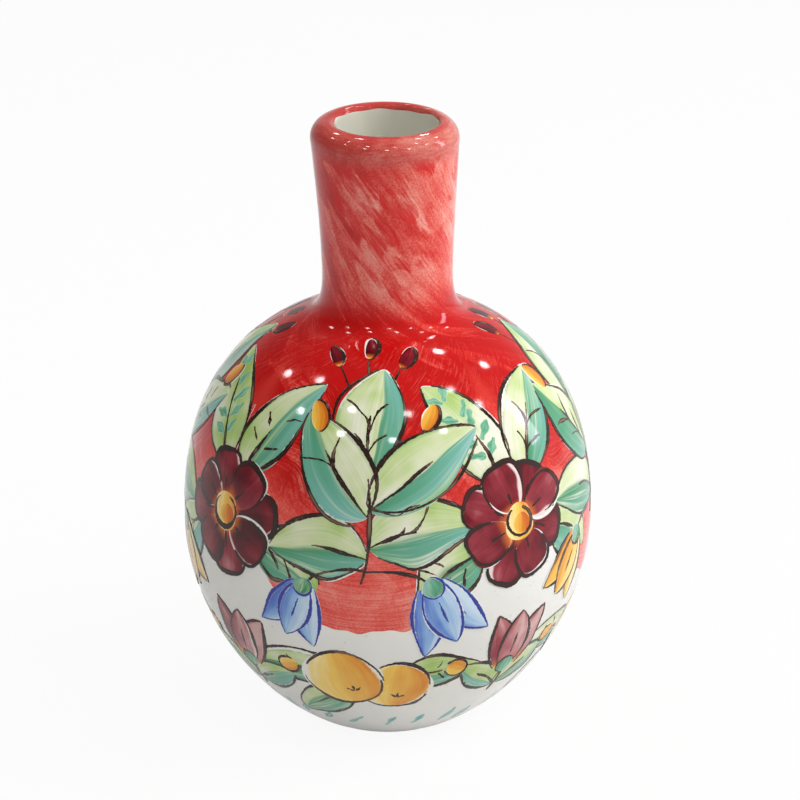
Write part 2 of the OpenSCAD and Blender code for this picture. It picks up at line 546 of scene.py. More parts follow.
def red_pigment():
    """Red brushed on in separate slanting dabs, pink where it is thin, with fine hair lines. The strokes lie
    level round the lip, cross each other on the shoulder, and run along the ground's edge low down."""
    paint = Material("red_pigment")
    way, wind, rise = paint.stored("brushing")[:3]
    x, y, z = paint.parts(paint.place)
    flat = paint.vector(x, y, 0.0)
    radius = paint.node("VectorMath", {0: flat}, operation="LENGTH").outputs["Value"]
    ring = paint.node("VectorMath", {0: flat}, operation="NORMALIZE").outputs[0]
    bent = paint.sum((wind, 1.0), (paint.mottle(42.0, 1.0), 0.7))

    def brushed(slant, around, along, distance=way):
        """Places that follow strokes at a slant, which is the tangent of its angle from upright."""
        inputs = {"Vector": ring, "Angle": paint.product(bent, slant)}
        turned_ring = paint.node("VectorRotate", inputs, rotation_type="Z_AXIS").outputs[0]
        right, ahead = paint.parts(turned_ring)[:2]
        return paint.stretched((right, around), (ahead, around), (distance, along))

    on_neck = paint.between(z, *NECK_FROM)
    on_lip = paint.between(z, *LIP_FROM)
    in_mouth = paint.product(on_lip, paint.between(radius, *MOUTH_WITHIN))
    on_root = paint.product(paint.between(z, *ROOT_FROM), paint.between(z, *ROOT_TO))
    on_shoulder = paint.product(paint.between(z, *SHOULDER_FROM), paint.between(z, *SHOULDER_TO))
    at_edge = paint.between(rise, *EDGE_WITHIN)
    crossing = paint.between(paint.mottle(36.0, 1.0), 0.46, 0.54)

    def crossed(around, along, detail):
        """Hair lines that cross each other on the globe and slant one way on the neck."""
        one_way = paint.noise(brushed(ONE_SLANT, around, along), 1.0, detail)
        other_way = paint.noise(brushed(OTHER_SLANT, around, along), 1.0, detail)
        slanted = paint.noise(brushed(NECK_HAIR_SLANT, around * 0.43, along), 1.0, detail)
        return paint.blend(on_neck, paint.blend(crossing, one_way, other_way), slanted)

    hairs = crossed(60.0, 190.0, 4.0)
    hairs = paint.blend(at_edge, hairs, paint.noise(brushed(0.0, 4.0, 2300.0, rise), 1.0, 2.0))
    hairs = paint.blend(on_lip, hairs, paint.noise(brushed(0.0, 5.0, 1500.0), 1.0, 2.0))
    hairs = paint.between(hairs, 0.3, 0.7)
    hairs = paint.blend(paint.product(on_neck, 0.4), hairs, 0.5)

    globe_dab, globe_load = paint.daubs(paint.shaken(brushed(GLOBE_SLANT, 9.0, 105.0), 0.9), 0.3)
    neck_dab = paint.daubs(paint.shaken(brushed(NECK_SLANT, 4.2, 100.0), 0.9), 0.4)[0]
    neck_load = paint.daubs(paint.shaken(brushed(NECK_SLANT, 3.6, 150.0), 1.3), 0.62)[1]
    dab = paint.blend(on_neck, globe_dab, paint.between(neck_dab, 0.0, 1.0, 0.28, 0.84))
    even = paint.larger(paint.product(at_edge, 0.7), paint.product(on_lip, 0.8))
    dab = paint.blend(even, dab, 0.5)
    load = paint.blend(on_neck, globe_load, neck_load)

    pools = paint.mottle(75.0, 2.0, 0.8)
    grain = paint.mottle(2200.0, 2.0)
    # Paler towards the neck's right: partly thinner paint there, partly painted light from the side the lamps
    # light most
    paler_right_paint_and_light = paint.product(on_neck, paint.parts(ring)[0])
    thin = paint.sum(
        (hairs, 0.22), (dab, 0.62), (pools, 0.8), (grain, 0.5), (on_shoulder, -0.42), (on_root, 0.02),
        (in_mouth, -0.24), (at_edge, 0.05), (paler_right_paint_and_light, 0.2),
    )
    wash = paint.ramp(
        thin, (0.72, 190, 16, 13), (0.9, 208, 46, 40), (1.06, 221, 86, 74), (1.24, 231, 130, 116),
        (1.44, 238, 168, 153), top=2.0,
    )
    loaded = paint.sum(
        (load, 1.0), (on_neck, 0.05), (on_shoulder, 0.13), (even, -0.5), (hairs, -0.12), (grain, -0.12),
    )
    deep = paint.product(paint.between(loaded, 0.47, 0.73), paint.between(hairs, 0.1, 0.9, 0.96, 0.44))
    dense = paint.mix(on_neck, srgb(184, 13, 12), srgb(208, 14, 12))
    colour = paint.mix(deep, wash, dense)
    # The lip is mixed towards a dull brownish red: partly its own duller paint, partly painted shade that
    # tones down its top, which the lamps overhead light more
    colour = paint.mix(paint.product(on_lip, 0.4), colour, srgb(150, 84, 78))
    colour = paint.mix(paint.product(at_edge, 0.3), colour, srgb(232, 84, 72))
    scratch = paint.between(crossed(120.0, 330.0, 1.0), 0.6, 0.72, 0.0, 0.2)
    scratch = paint.product(scratch, paint.sum((1.0, 1.0), (even, -1.0), (on_neck, -0.5)))
    return paint.glazed(paint.mix(scratch, colour, srgb(232, 142, 130)), paint.product(hairs, 0.06))


def leaf_paint():
    """A wet leaf: a pale yellow green wash, and beside it one broad teal stroke whose hairs show, with bare
    slivers at the edges. The stroke's tone is the share of the width that stays pale."""
    paint = Material("leaf_paint", painted=True)
    cloud = paint.mottle(80.0, 2.0)
    streak = paint.bristles(1.1, 5.5)
    hairs = paint.bristles(1.6, 26.0, 4.0)
    pale = paint.ramp(
        paint.sum((cloud, 0.8), (paint.bristles(0.8, 2.0, 2.0), 0.35), (hairs, 0.22)),
        (0.5, 156, 190, 96), (0.61, 186, 207, 138), (0.72, 211, 219, 177), (0.84, 230, 229, 210),
    )
    hue = paint.sum((paint.along, 0.5), (paint.across, 0.5), (streak, 0.6), (paint.seed, 0.3))
    teal = paint.ramp(
        hue, (0.75, 58, 140, 92), (1.0, 92, 160, 130), (1.25, 116, 178, 162), (1.5, 136, 188, 194), top=2.0,
    )
    dry = paint.between(paint.sum((streak, 0.6), (hairs, 0.5)), 0.52, 0.72)
    teal = paint.mix(paint.product(dry, 0.75), teal, pale)
    run = paint.sum(
        (paint.across, 1.0), (paint.tone, -1.0), (paint.bristles(1.4, 0.0, 2.0), 0.44), (hairs, 0.05),
    )
    border = 0.24
    wet = paint.between(cloud, 0.4, 0.7, 0.008, 0.1)
    share = paint.between(run, paint.less(border, wet), paint.math("ADD", border, wet))
    colour = paint.mix(share, pale, teal)
    rim = paint.product(
        paint.between(run, border, border + 0.02), paint.between(run, border + 0.07, border + 0.02),
    )
    pooled = paint.larger(paint.product(rim, 0.4), paint.between(paint.side, 0.08, 0.01, 0.0, 0.4))
    colour = paint.mix(pooled, colour, srgb(84, 148, 100))
    sliver = paint.between(paint.mottle(60.0, 1.0), 0.53, 0.59)
    bare = paint.product(sliver, paint.less(1.0, paint.inside(0.05)))
    return paint.glazed(paint.mix(bare, colour, WHITE))


def plum_pigment():
    """Plum that thins to mauve with the stroke's tone, and runs from a yellow and orange eye."""
    paint = Material("plum_pigment", painted=True)
    cloud = paint.mottle(140.0, 2.0)
    heart = paint.product(paint.between(paint.side, 0.08, 0.42), paint.between(paint.along, 0.4, 0.8))
    depth = paint.sum(
        (paint.bristles(1.2, 3.5), 0.4), (paint.bristles(2.0, 22.0), 0.26), (cloud, 0.74), (paint.tone, 0.8),
        (paint.across, 0.15), (heart, 0.24),
    )
    body = paint.ramp(
        depth, (0.8, 72, 5, 15), (1.04, 114, 13, 29), (1.28, 144, 44, 56), (1.52, 178, 104, 108),
        (1.78, 210, 168, 164), top=2.0,
    )
    outward = paint.sum((paint.along, 1.0), (cloud, 0.35))
    eye = paint.ramp(outward, (0.24, 238, 190, 84), (0.36, 202, 98, 36))
    colour = paint.mix(paint.between(outward, 0.52, 0.32), body, eye)
    crescent = paint.between(paint.sum((paint.across, 1.0), (cloud, 0.4)), 1.08, 1.15)
    crescent = paint.product(crescent, paint.between(paint.seed, 0.66, 0.7))
    return paint.glazed(paint.mix(crescent, colour, srgb(226, 208, 204)))


def deepening(name, streaks, weights, edge, pale, *stops):
    """A pigment that deepens across the stroke, and with its tone, inside a paler edge. The weights are those
    of the way across, the brush's streaks, the tone, a cloud and the brush's hairs."""
    paint = Material(name, painted=True)
    cloud, hairs = paint.mottle(120.0, 2.0), paint.bristles(2.0, 24.0)
    depth = paint.sum(*zip((paint.across, paint.bristles(*streaks), paint.tone, cloud, hairs), weights))
    body = paint.ramp(depth, *stops, top=2.0)
    return paint.glazed(paint.mix(paint.inside(*edge), pale, body))


def ochre_pigment():
    """Yellow that deepens to orange."""
    return deepening(
        "ochre_pigment", (1.4, 6.0), (0.6, 0.45, 0.5, 0.25, 0.2), (0.04, 0.03), srgb(244, 226, 176),
        (0.5, 246, 228, 166), (0.75, 241, 198, 86), (1.1, 226, 148, 44), (1.35, 202, 98, 26),
    )


def blue_pigment():
    """Pale blue that deepens to a dark one."""
    return deepening(
        "blue_pigment", (1.5, 5.0), (0.65, 0.6, 0.6, 0.4, 0.24), (0.06, 0.05), WHITE,
        (0.7, 202, 220, 234), (1.0, 146, 184, 224), (1.3, 88, 122, 200), (1.55, 50, 62, 150),
    )


def teal_pigment():
    """Watery teal, which is greener where the stroke's tone is high."""
    paint = Material("teal_pigment", painted=True)
    streak = paint.bristles(1.8, 4.0)
    teal = paint.ramp(streak, (0.35, 72, 150, 146), (0.55, 122, 187, 182), (0.75, 182, 216, 208))
    green = paint.ramp(streak, (0.35, 84, 156, 118), (0.55, 126, 184, 152), (0.75, 170, 208, 168))
    body = paint.mix(paint.between(paint.tone, 0.5, 1.0), teal, green)
    return paint.glazed(paint.mix(paint.inside(0.15, 0.05), srgb(188, 216, 188), body))


def line_pigment():
    """Near-black brown of the drawn lines, lighter where the brush ran dry or its hairs parted. The lines
    with a low tone are drawn on dark colours."""
    paint = Material("line_pigment", painted=True)
    ends = paint.math("ABSOLUTE", paint.less(paint.along, 0.5))
    dryness = paint.sum((paint.bristles(7.0, 3.0), 1.0), (paint.mottle(1700.0), 0.6), (ends, 0.5))
    parting = paint.between(paint.bristles(2.5, 0.0, 2.0), 0.5, 0.64)
    parted = paint.product(paint.between(paint.side, 0.1, 0.4), parting)
    faint = paint.ramp(paint.tone, (0.0, 74, 26, 28), (0.5, 128, 100, 82))
    share = paint.larger(paint.between(dryness, 0.95, 1.3), parted)
    return paint.glazed(paint.mix(share, srgb(46, 30, 25), faint))


# Brushwork

# Height of the paint over the skin, and what each tier of the design and each layer in it adds to that
PAINT_LIFT = 0.026
TIER = 0.026
LAYER = 0.004
RESERVE, WASH, SHADE, DETAIL, LINE, DOT = range(6)
# Most that two patches of a layer differ in height, so that they don't lie in each other where they cross
LIFT_JITTER = 0.0015
# Longest step between the points of a patch, so that each layer stays above the one under it
PATCH_STEP = 0.8
LINE_STEP = 0.5
# The same across white grounds, washes and lines
RESERVE_ACROSS = 1.6
WASH_ACROSS = 0.95
LINE_ACROSS = 1.2
# Least number of steps along a line, and least half width of it and of a white ground
LINE_STEPS = 12
LINE_LEAST = 0.04
RESERVE_LEAST = 0.03
# How far a line's edges stray at each step, as the brush drags over the glaze
LINE_ROUGHNESS = 0.05

pigments = {name: Pigment() for name in ("reserve", "leaf", "plum", "ochre", "blue", "teal", "line")}


class Spot:
    """A place on the skin with a direction: local x to its right and y ahead, turned clockwise from up."""

    def __init__(self, phi, s, turn=0.0, tier=0.0):
        self.phi, self.s, self.turn, self.tier = phi, s, turn, tier

    def spread(self, points):
        """Places (phi, s) of local points."""
        sin, cos = math.sin(self.turn), math.cos(self.turn)
        x, y = points[..., 0], points[..., 1]
        s = self.s - x * sin + y * cos
        return self.phi + (x * cos + y * sin) / skin.at(s)[0], s

    def moved(self, x, y, turn_deg=0.0, tier=None):
        phi, s = self.spread(np.array([x, y], float))
        tier = self.tier if tier is None else tier
        return Spot(float(phi), float(s), self.turn + math.radians(turn_deg), tier)

    def raised(self, tiers):
        return Spot(self.phi, self.s, self.turn, self.tier + tiers)

    def lift(self, layer):
        return PAINT_LIFT + self.tier * TIER + layer * LAYER + rng.uniform(0, LIFT_JITTER)


def spot(phi_deg, z, turn_deg=0.0, tier=0.0):
    return Spot(math.radians(phi_deg), float(skin.level(z)), math.radians(turn_deg), tier)


def vary(value, share=0.06):
    return value * rng.normal(1, share)


def unsteady(points, amount):
    """The same line drawn by a hand that isn't quite steady."""
    way = np.concatenate([[0], np.cumsum(np.linalg.norm(np.diff(points, axis=0), axis=1))])
    t = way[:, None] / way[-1]
    drift = 0
    for waves in (1, 2, 4):
        drift = drift + rng.normal(0, amount / waves, 2) * np.sin(math.pi * waves * t + rng.uniform(0, 6, 2))
    return points + drift


def across_of(points):
    """Unit vectors to the right of a line, at each of its points."""
    ahead = np.gradient(points, axis=0)
    ahead /= np.linalg.norm(ahead, axis=1)[:, None] + 1e-9
    return np.stack([ahead[:, 1], -ahead[:, 0]], axis=1)


def patch(pigment, where, left, right, layer, tone=0.5, step=PATCH_STEP):
    """Fills the space between two lines with one broad stroke along them."""
    width = np.linalg.norm(right - left, axis=1).max()
    share = np.linspace(0, 1, max(2, math.ceil(width / step) + 1))[None, :, None]
    phi, s = where.spread(left[:, None] * (1 - share) + right[:, None] * share)
    pigments[pigment].lay(phi, s, where.lift(layer), tone)


def swelling(count):
    """A brush's changing pressure along a line."""
    t = np.linspace(0, 1, count)
    press = 0.2 + 0.8 * np.sin(math.pi * np.clip(t * 0.94 + 0.04, 0, 1)) ** 0.6
    return press * (1 + 0.35 * np.sin(t * rng.uniform(3, 10) + rng.uniform(0, 6)))


def line(where, points, width, layer=LINE, pigment="line", tone=0.5):
    """Draws a line whose width swells and thins, with rough edges."""
    length = np.linalg.norm(np.diff(points, axis=0), axis=1).sum()
    points = evened(points, min(LINE_STEP, length / LINE_STEPS))
    half = width / 2 * swelling(len(points)) + rng.normal(0, LINE_ROUGHNESS, (2, len(points)))
    left, right = np.maximum(half, LINE_LEAST)[:, :, None] * across_of(points)
    patch(pigment, where, points - left, points + right, layer, tone, LINE_ACROSS)


def outline(where, rim, width, tone=0.5):
    """Draws a loose line along an edge, and at times part of it a second time beside it."""
    rim = unsteady(rim, 0.4)
    count = len(rim)
    first = rng.integers(0, count // 7 + 1)
    last = count - rng.integers(0, count // 7 + 1)
    line(where, rim[first:last], width, tone=tone)
    if rng.random() < 0.4:
        first = rng.integers(0, count // 2)
        line(where, unsteady(rim[first:first + count // 3 + 2], 0.5), width * 0.6, tone=tone)


def arc(radius, first_deg, last_deg):
    """Points of a circle, clockwise from straight ahead."""
    angle = np.radians(np.linspace(first_deg, last_deg, max(6, int(abs(last_deg - first_deg) / 8))))
    return np.stack([np.sin(angle), np.cos(angle)], axis=1) * radius


def dot(where, radius, pigment, layer, tone=0.5, wobble=0.06):
    """A round dab."""
    curve = arc(radius, 4, 176)
    swell = 1 + wobble * np.sin(curve[:, 1:] * 3 / radius + rng.uniform(0, 6))
    curve = evened(curve * swell, PATCH_STEP * 0.8)
    patch(pigment, where, curve * [-1, 1], curve, layer, tone)


def filled(pigment, where, middle, half, tone, on_red):
    """Fills a shape given by its middle line and half widths, on the red over a white ground a little off."""
    side = across_of(middle)
    if on_red:
        ground = middle + rng.normal(0, 0.2, 2)
        waves = np.sin(np.linspace(0, rng.uniform(3, 9), len(middle)) + rng.uniform(0, 6))[:, None]
        wide = np.maximum(half + 0.1 + 0.2 * waves, RESERVE_LEAST)
        patch("reserve", where, ground - side * wide, ground + side * wide, RESERVE, step=RESERVE_ACROSS)
    patch(pigment, where, middle - side * half, middle + side * half, WASH, tone, WASH_ACROSS)


# Places of a leaf's veins along its midrib, in each manner of drawing them
VEINS = {
    "dashes": (0.2, 0.34, 0.48, 0.62, 0.76),
    "ticks": (0.28, 0.42, 0.56),
    "sweeps": (0.16, 0.4),
    "plain": (),
}


def leaf(where, length, width, bend, dark=1, on_red=True, dashed=False):
    """A leaf from its stalk upwards, with drawn edges, midrib and veins, or teal dashes on all pale green.
    The dark half is on its right where dark is 1, and on its left where it is -1."""
    rows = math.ceil(length / PATCH_STEP * 1.8)
    t = eased(rows)
    middle = unsteady(bezier((0, 0), (-bend * 0.4, length * 0.5), (bend, length), t), 0.3)
    wavy = 1 + 0.05 * np.sin(t * rng.uniform(4, 9) + rng.uniform(0, 6))
    half = (width / 2 * np.sin(math.pi * t ** 0.82) ** 0.75 * wavy + 0.06)[:, None]
    side = across_of(middle)
    pale_share = 1.4 if dashed else rng.uniform(0.36, 0.66)
    if dark > 0:
        filled("leaf", where, middle, half, pale_share, on_red)
    else:
        filled("leaf", where, middle[::-1], half[::-1], pale_share, on_red)
    for edge in (-1, 1):
        outline(where, middle + side * half * edge, 0.85)
    line(where, unsteady(middle[t < rng.uniform(0.45, 0.75)], 0.2), 0.85)
    ahead = middle[-1] / np.linalg.norm(middle[-1]) * width
    manner = "plain" if length < 18 else rng.choice(["ticks", "sweeps", "plain"], p=[0.35, 0.45, 0.2])
    manner = "dashes" if dashed else manner
    for share in VEINS[manner]:
        row = np.searchsorted(t, share + rng.uniform(-0.04, 0.04))
        for edge in (-1, 1):
            if rng.random() < (0.12 if dashed else 0.3):
                continue
            out = side[row] * edge * half[row] * rng.uniform(0.5, 0.78)
            if manner == "sweeps":
                vein = middle[row] + bezier((0, 0), ahead * 0.25, out + ahead * 0.4, 9)
                line(where, unsteady(vein, 0.2), vary(0.65, 0.15))
                continue
            vein = middle[row] + (out + ahead * 0.22) * np.linspace(0.14 if dashed else 0.3, 1, 5)[:, None]
            if dashed:
                line(where, unsteady(vein, 0.15), 2.1, SHADE, "teal", 1.0)
            else:
                line(where, unsteady(vein, 0.15), vary(0.6, 0.2))


def rosette(where, radius, petals, tone, on_red=True):
    """A round flower: half of its petals lie over the others, about an ochre eye."""
    first = rng.uniform(0, 360)
    for number in [*range(0, petals, 2), *range(1, petals, 2)]:
        turn = first + 360 * number / petals + rng.normal(0, 3.5)
        at = where.moved(0, 0, turn).raised(0.8 * (number % 2))
        long = radius * rng.uniform(0.9, 1.06)
        t = np.linspace(0.01, 0.99, 33)
        y = radius * 0.2 + (long - radius * 0.2) * (1 - np.cos(math.pi * t)) / 2
        middle = np.stack([rng.normal(0, 0.5) * t, y], axis=1)
        wide = radius * math.pi / petals * rng.uniform(1.0, 1.14)
        half = (wide * np.sin(math.pi * t) ** 0.7 * (0.42 + 0.6 * t ** 0.7))[:, None]
        filled("plum", at, middle, half, tone + rng.uniform(-0.1, 0.35), on_red)
        rim = np.concatenate([(middle - [1, 0] * half)[9:], (middle + [1, 0] * half)[:8:-1]])
        outline(at, rim, 1.1, 0.0)
        tick = np.array([[0.0, radius * 0.32], [0.4, radius * rng.uniform(0.46, 0.6)]])
        line(at, tick, 0.75, tone=0.0)
    eye = where.raised(1.0)
    dot(eye, radius * 0.28, "ochre", DETAIL, 0.1, 0.12)
    dot(eye.moved(radius * 0.04, -radius * 0.03), radius * 0.17, "ochre", LINE, 0.8)
    line(eye, unsteady(arc(radius * 0.24, 20, 330), 0.25), 1.1, DOT)


def fruit(where, radius):
    """A round fruit with an orange side, drawn edges and a small star where the flower was."""
    dot(where, radius + 0.4, "reserve", RESERVE)
    dot(where, radius * 0.97, "ochre", WASH, 0.2)
    outline(where, arc(radius, -80, 110), 0.85)
    outline(where, arc(radius, 80, 280), 0.85)
    for turn in (-50, 0, 50):
        star = where.moved(radius * 0.15, -radius * 0.5, turn)
        line(star, np.array([[0, 0.3], [0, 2.2]]), 0.6)


def cup(where, size, pigment, tone, ink, on_red=True):
    """A cup flower along its own y: two outer petals that curl out and one between them. Its ink is the
    pigment and tone of its drawn lines."""
    for bend, width, deeper in ((-0.36, 0.44, -0.15), (0.36, 0.44, 0.2), (0.0, 0.5, 0.05)):
        at = where if bend else where.raised(0.8)
        t = eased(38)
        top = (bend * 1.3 * size, size)
        middle = bezier((bend * 0.25 * size, 0), (bend * 0.5 * size, size * 0.55), top, t)
        half = (width * size / 2 * np.sin(math.pi * (0.12 + 0.88 * t)) ** 0.8 + 0.05)[:, None]
        side = across_of(middle)
        filled(pigment, at, middle, half, tone + deeper, on_red)
        for edge in (-1, 1):
            line(at, unsteady(middle + side * half * edge, 0.25), 0.8, LINE, *ink)
        line(at, middle[12:22], 0.55, LINE, *ink)
    cap = where.moved(0, size * 0.02).raised(1.2)
    dot(cap, size * 0.15, "leaf", DETAIL, 0.0, 0.12)
    line(cap, unsteady(arc(size * 0.155, 190, 440), 0.15), 0.6, LINE, *ink)


def bud(where, length, width, pigment="ochre", tone=0.7):
    """A short fat dab with one drawn edge."""
    t = eased(21)
    middle = bezier((0, 0), (width * 0.3, length / 2), (0, length), t)
    half = (width * np.sqrt(t * (1 - t)) * (1.1 - 0.2 * t) + 0.05)[:, None]
    filled(pigment, where, middle, half, tone, True)
    line(where, unsteady(middle + across_of(middle) * half, 0.15), 0.8)


# The red ground: lobes that hang from the shoulder all round

CUSP_Z = 79.0
LOBE_Z = 41.0
LOBE_POWER = 2.7
RED_INTO_MOUTH = 2.1
# The sheet's height over the skin, and its depth into it where it lies on the white
SHEET_LIFT = 0.018
SHEET_SINK = 0.02
# How far before the lip's crest the sheet's closer rows start, and how many rows lie before and after that
LIP_REACH = 7.0
SHEET_ROWS = 75
LIP_ROWS = 36


def lobe_edge(phi):
    """Height that the red ground's lower edge follows."""
    share = (np.degrees(phi) - FRONT_LOBE) / LOBE_TURN
    share = 2 * np.abs(share - np.round(share))
    return LOBE_Z + (CUSP_Z - LOBE_Z) * share ** LOBE_POWER


def red_edge(phi):
    """Height of the lower edge as the brush left it."""
    ragged = 0.35 * np.sin(17 * phi + 2) + 0.3 * np.sin(31 * phi + 2.2) + 0.2 * np.sin(57 * phi)
    return lobe_edge(phi) + ragged


def red_ground(material, columns=420):
    """The red sheet from its lobed edge over the shoulder, neck and lip into the mouth. Each of its points
    holds the way along the skin, the turn of a stroke at 45 degrees up to it, and the rise above the edge."""
    phi = np.linspace(0, 2 * math.pi, columns, endpoint=False)[None, :]
    end = skin.crest + RED_INTO_MOUTH
    end = end + 0.28 * np.sin(2 * phi + 2) + 0.14 * np.sin(5 * phi + 1) + 0.09 * np.sin(11 * phi)
    start = skin.level(red_edge(phi))
    below_lip = skin.crest - LIP_REACH
    s = np.concatenate([
        start + (below_lip - start) * np.linspace(0, 1, SHEET_ROWS, endpoint=False)[:, None],
        below_lip + (end - below_lip) * np.linspace(0, 1, LIP_ROWS)[:, None],
    ])
    rows = len(s)
    phi = np.broadcast_to(phi, s.shape)
    seated = np.clip((skin.at(s)[1] - WHITE_TOP_Z) / 2, 0, 1)
    upper = on_skin(phi, s, SHEET_LIFT)
    lower = on_skin(phi, s, -SHEET_SINK - (GLAZE_T - 0.03) * seated)
    points = np.concatenate([upper.reshape(-1, 3), lower.reshape(-1, 3)])
    made = mesh_object("red_ground", points, slab_faces(rows, columns, wrapped=True).tolist(), material)
    wind = np.interp(s, skin.along, np.cumsum(skin.STEP / skin.points[:, 0]))
    rise = s - skin.level(lobe_edge(phi))
    brushing = np.stack([s * MM, wind, rise * MM, np.ones_like(s)], -1).reshape(-1, 4)
    store_values(made, "brushing", np.concatenate([brushing, brushing]))
    return made


# The design, repeated round the bottle with a hand's variation

def lobe_spray(phi, bell, tone, ink):
    """A leafy stem up the middle of a red lobe, with bellflowers under its leaves and buds between them."""
    stem = spot(phi, 66, rng.normal(0, 4))
    for x, y, turn, length, bend, tier in (
            (0.4, -6, -80, 25, 5, 1.0), (0.4, -3, 77, 25, 5, 1.25), (0, 13, 2, 27, 2, 2.0),
            (0.6, 4, -44, 27, -3, 3.0), (0.5, 6, 48, 27, 3, 3.25)):
        way = 1 if turn > 0 else -1
        leaf(stem.moved(x, y, turn + rng.normal(0, 4), tier), vary(length), vary(16, 0.06), bend * way, way)
    line(stem.raised(3.3), unsteady(bezier((-0.8, -12.5), (2.0, -3), (0, 13), 20), 0.3), 1.0, DOT)
    for x, y, turn in ((-8.5, 40, -30), (-1.5, 43, -6), (6, 40.5, 24)):
        stalk = bezier((x * 0.1, 26), (x * 0.5, y * 0.8), (x, y), 12)
        line(stem.raised(0.9), unsteady(stalk, 0.2), 0.7, SHADE)
        bud(stem.moved(x, y, turn + rng.normal(0, 4), tier=1.3), vary(6.2), vary(3.4), "plum", 0.1)
    for x, y, turn in ((-15, -14, 205), (15.5, -13, 154)):
        stalk = bezier((0, -9), (x * 0.7, -8), (x, y), 12)
        line(stem.raised(2), unsteady(stalk, 0.25), 0.8, SHADE)
        cup(stem.moved(x, y, turn + rng.normal(0, 5), tier=4), vary(16, 0.04), bell, tone, ink)
    for x, y, turn in ((-12, 23, -25), (12.5, 24, 27)):
        stalk = bezier((0, y * 0.3), (x * 0.4, y * 0.4), (x, y), 10)
        line(stem.raised(0.9), unsteady(stalk, 0.2), 0.7, RESERVE)
        bud(stem.moved(x, y, turn + rng.normal(0, 6), tier=4), vary(7.5), vary(4.2))


def cusp_rosette(phi):
    """A large rosette where two lobes meet, over four leaves of which two climb the shoulder."""
    middle = spot(phi, vary(64, 0.01), rng.normal(0, 6))
    for turn, length, bend, tier in (
            (-20, 29, -3, 0.0), (22, 28, 3, 0.25), (-112, 20, -4, 0.0), (112, 20, 4, 0.0)):
        at = middle.moved(0, 0, turn + rng.normal(0, 4), tier).moved(0, 11)
        leaf(at, vary(length), vary(14.5, 0.05), bend, 1 if turn > 0 else -1, dashed=turn == -20)
    rosette(middle.raised(5), vary(15, 0.02), 8, 0.15)


def fruit_spray(phi):
    """Two fruits on the white under a lobe, between leaves."""
    middle = spot(phi, 25, rng.normal(0, 5))
    for turn, length, bend, tier in ((-80, 23, -4, 0.0), (78, 23, 4, 0.2), (-128, 17, -2, 0.4)):
        at = middle.moved(0, 0, turn, tier).moved(0, 7)
        leaf(at, vary(length), vary(11, 0.05), bend, 1 if turn > 0 else -1, on_red=False)
    fruit(middle.moved(6, -1.5, 10, tier=2), vary(8.2, 0.03))
    fruit(middle.moved(-6, 1.0, -12, tier=3), vary(9, 0.03))


def low_tulip(phi):
    """A mauve tulip on the white under a cusp, with two leaves, teal strokes and berries."""
    foot = spot(phi, vary(19, 0.02), rng.normal(0, 6))
    for turn in (-62, 60):
        stroke = bezier((0, 8), (turn * 0.03, 14), (turn * 0.06, 20), 12)
        line(foot.moved(0, 4, turn), unsteady(stroke, 0.3), 2.4, RESERVE, "teal")
        berry = foot.moved(0, 4, turn + rng.normal(0, 4)).moved(0, 16, tier=4)
        dot(berry, vary(2.7), "ochre", WASH, 0.4)
        line(berry, unsteady(arc(2.7, 10, 320), 0.2), 0.7)
    for turn, tier in ((-48, 1.5), (50, 1.75)):
        way = 1 if turn > 0 else -1
        at = foot.moved(0, 0, turn + rng.normal(0, 4), tier)
        leaf(at, vary(17), vary(8.5), 1.5 * way, way, on_red=False)
    line(foot.raised(2.8), unsteady(bezier((0, -3), (0.6, 2), (0, 8), 10), 0.2), 0.9, SHADE)
    cup(foot.moved(0, 7, tier=3), vary(17, 0.03), "plum", 0.85, ("line", 0.2), on_red=False)


def foot_strokes(count=30):
    """Short watery strokes above the foot."""
    for number in range(count):
        at = spot(360 * number / count + rng.normal(0, 1.6), vary(9.5, 0.05), 22 + rng.normal(0, 10))
        reach = rng.uniform(2.6, 4.2)
        stroke = bezier((0, -reach), (rng.normal(0.4, 0.3), 0), (0, reach), 9)
        line(at, unsteady(stroke, 0.2), vary(1.8, 0.16), WASH, "teal")


# The pieces

def path(turned_outline, first, last, count):
    """Points (r, z) of an outline between two places on it."""
    return np.stack(turned_outline.at(np.linspace(first, last, count)), axis=1)


# Distance between the points of the inside
INSIDE_STEP = 1.5


def cavity(inset, floor, bore):
    """The inside from the edge of the floor to the bore, upwards."""
    rise = (1 - (bore / (BELLY_R - inset)) ** SHOULDER_FULLNESS) ** (1 / SHOULDER_FULLNESS)
    return evened(globe_points(inset, floor, BELLY_Z + (SHOULDER_H - inset) * rise), INSIDE_STEP)


CAVITY_INSET = PAINT_ROOM + GLAZE_T + WALL_T
BORE_R = MOUTH_R + NECK_ROOM
CLAY_BORE_R = BORE_R + GLAZE_T
CLAY_TOP = under.level(SEAT_Z)
BORE_END_Z = SEAT_Z - 2
# Rows of points up the globe's side
SIDE_ROWS = 130


def thrown_body(material):
    """The clay globe with its turned foot ring and recess, its floor and its inside."""
    side = globe_points(PAINT_ROOM + GLAZE_T, FOOT_ROUND, BARE_Z, 8)
    ring_r = side[0, 0] - FOOT_ROUND
    recess_r = ring_r - RING_W
    r = np.linspace(0, recess_r - RECESS_H, 40)
    recess = np.stack([r, RECESS_H + 0.05 * np.sin(r * 3.4)], axis=1)
    section = np.concatenate([
        recess,
        [[recess_r - 0.3, 0.3], [recess_r + 0.3, 0]],
        quarter((ring_r, FOOT_ROUND), FOOT_ROUND, FOOT_ROUND, -90, 0, 6),
        side[1:-1],
        path(under, 0, CLAY_TOP, SIDE_ROWS),
        [[CLAY_BORE_R, SEAT_Z]],
        cavity(CAVITY_INSET, FLOOR_Z, CLAY_BORE_R)[::-1],
        [[0, FLOOR_Z]],
    ])
    return turned("clay_body", section, material, segments=200, closed=False)


def thrown_neck(material):
    side = path(under, CLAY_TOP, under.along[-1], 90)
    return turned("clay_neck", np.concatenate([side, [[CLAY_BORE_R, SEAT_Z]]]), material, segments=160)


